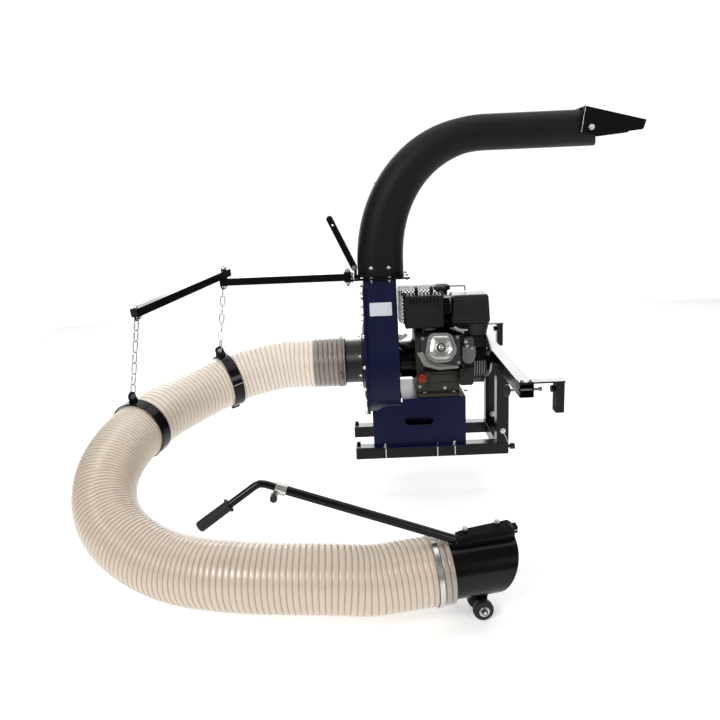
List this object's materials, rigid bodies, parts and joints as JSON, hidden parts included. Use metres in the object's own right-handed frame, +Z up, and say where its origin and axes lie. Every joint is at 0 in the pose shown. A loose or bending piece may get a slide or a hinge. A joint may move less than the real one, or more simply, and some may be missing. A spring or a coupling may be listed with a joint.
{
  "type": "leaf vacuum",
  "caption": "Tailgate-hung leaf vacuum: petrol engine, blower, ribbed suction hose on a swinging boom, wheeled nozzle with long handle, turning elbow chute with tilting hood",
  "frame": {"origin": "middle of the tailgate's top edge, under the two hook plates and between crossbar and hook legs", "axes": "+X towards the truck, along the crankshaft and the crossbar's normal; +Y away from the viewer of the picture, along the crossbar; +Z up"},
  "size_m": [2.1306, 1.7154, 1.5742],
  "materials": {
    "black_coat": "gloss black powder coat",
    "navy_paint": "dark blue semi-gloss paint",
    "black_plastic": "moulded black plastic",
    "hose_plastic": "ivory ribs on a thin translucent wall",
    "zinc": "zinc plated steel",
    "cast_silver": "cast aluminium",
    "cast_grey": "painted cast aluminium",
    "rubber": "moulded rubber",
    "orange_plastic": "orange-red plastic",
    "wheel_steel": "bare steel"
  },
  "bodies": {
    "root": {"front_rail": "black_coat", "back_rail": "black_coat", "front_post": "black_coat", "back_post": "black_coat", "post_tie": "black_coat", "crossbar": "black_coat", "near_hook": "black_coat", "far_hook": "black_coat", "engine_pedestal": "navy_paint", "crankcase": "cast_grey", "cylinder_barrel": "cast_grey", "cylinder_head": "cast_silver", "valve_cover": "cast_silver", "muffler": "black_coat", "muffler_guard": "zinc", "air_cleaner_cover": "black_plastic", "air_cleaner_base": "black_plastic", "carburettor": "cast_silver", "control_box": "black_plastic", "fan_shroud": "black_coat", "recoil_cover": "black_coat", "fuel_tank": "black_coat", "blower_housing": "navy_paint", "inlet_cover": "navy_paint", "adapter": "black_coat", "inlet_collar": "black_plastic", "inlet_hose_clip": "zinc", "boom_bracket": "black_coat", "hose_inlet_stretch": "hose_plastic"},
    "rotor": {"crankshaft": "wheel_steel", "impeller": "wheel_steel", "flywheel": "cast_silver"},
    "chute": {"chute_elbow": "black_plastic", "chute_lever": "black_coat"},
    "hood": {"deflector_hood": "black_coat"},
    "inner_boom": {"boom_arm_inner": "black_coat", "inner_chain": "zinc", "inner_hose_band": "black_coat", "hose_mid_stretch": "hose_plastic"},
    "outer_boom": {"boom_arm_outer": "black_coat", "outer_chain": "zinc", "outer_hose_band": "black_coat", "hose_main_stretch": "hose_plastic", "nozzle_hose_clip": "zinc", "nozzle": "black_coat", "wheel_bracket": "black_coat", "handle_lower_tube": "black_coat", "handle_clamp": "cast_silver"},
    "near_roller": {"near_wheel": "rubber"},
    "far_roller": {"far_wheel": "rubber"},
    "upper_handle": {"handle_upper_tube": "black_coat", "grip": "rubber"},
    "handle_knob": {"clamp_knob": "black_plastic"},
    "near_screw": {"near_clamp_screw": "zinc"},
    "far_screw": {"far_clamp_screw": "zinc"},
    "stand_off": {"stand_off_screw": "rubber"},
    "throttle": {"throttle_lever": "zinc"},
    "tank_cap": {"fuel_cap": "black_plastic"},
    "sump_cap": {"oil_cap": "orange_plastic"},
    "starter": {"starter_handle": "black_plastic"}
  },
  "joints": [
    {"name": "rotor_spin", "type": "hinge", "parent": "root", "child": "rotor", "pos_m": [-0.612, 0, -0.028], "axis": [1, 0, 0], "continuous": true},
    {"name": "chute_turn", "type": "hinge", "parent": "root", "child": "chute", "pos_m": [-0.5555, 0, 0.3373], "axis": [0, 0, 1], "range_deg": [-120, 120]},
    {"name": "hood_tilt", "type": "hinge", "parent": "chute", "child": "hood", "pos_m": [0.288, 0, 0.882], "axis": [0, 1, 0], "range_deg": [0, 45]},
    {"name": "boom_swing", "type": "hinge", "parent": "root", "child": "inner_boom", "pos_m": [-0.685, -0.03, 0.337], "axis": [0, 0, 1], "range_deg": [-60, 20], "deforming": ["hose_inlet_stretch"]},
    {"name": "outer_boom_swing", "type": "hinge", "parent": "inner_boom", "child": "outer_boom", "pos_m": [-1.197, -0.02, 0.337], "axis": [0, 0, 1], "range_deg": [-50, 20], "deforming": ["hose_mid_stretch"]},
    {"name": "near_wheel_spin", "type": "hinge", "parent": "outer_boom", "child": "near_roller", "pos_m": [-0.29471, -1.02343, -0.5805], "axis": [0.1392, -0.9903, 0], "continuous": true},
    {"name": "far_wheel_spin", "type": "hinge", "parent": "outer_boom", "child": "far_roller", "pos_m": [-0.30348, -0.96105, -0.5805], "axis": [0.1392, -0.9903, 0], "continuous": true},
    {"name": "handle_slide", "type": "slide", "parent": "outer_boom", "child": "upper_handle", "axis": [-0.9298, -0.0534, 0.3641], "range_m": [0, 0.25]},
    {"name": "clamp_knob_turn", "type": "hinge", "parent": "outer_boom", "child": "handle_knob", "pos_m": [-0.90196, -1.06017, -0.15807], "axis": [0.0573, -0.9984, 0], "range_deg": [0, 360]},
    {"name": "near_clamp_screw_travel", "type": "slide", "parent": "root", "child": "near_screw", "axis": [1, 0, 0], "range_m": [-0.02, 0.028]},
    {"name": "far_clamp_screw_travel", "type": "slide", "parent": "root", "child": "far_screw", "axis": [1, 0, 0], "range_m": [-0.02, 0.028]},
    {"name": "stand_off_travel", "type": "slide", "parent": "root", "child": "stand_off", "axis": [1, 0, 0], "range_m": [0, 0.015]},
    {"name": "throttle_turn", "type": "hinge", "parent": "root", "child": "throttle", "pos_m": [-0.241, -0.152, 0.116], "axis": [0, 1, 0], "range_deg": [-15, 15]},
    {"name": "fuel_cap_turn", "type": "hinge", "parent": "root", "child": "tank_cap", "pos_m": [-0.287, 0.06, 0.237], "axis": [0, 0, 1], "range_deg": [0, 90]},
    {"name": "oil_cap_turn", "type": "hinge", "parent": "root", "child": "sump_cap", "pos_m": [-0.397, -0.135, -0.073], "axis": [0, -1, 0], "range_deg": [0, 360]},
    {"name": "starter_pull", "type": "slide", "parent": "root", "child": "starter", "axis": [0, 0.9397, 0.342], "range_m": [0, 0.45], "stiffness_N_per_m": 20, "springref_m": -0.05}
  ]
}
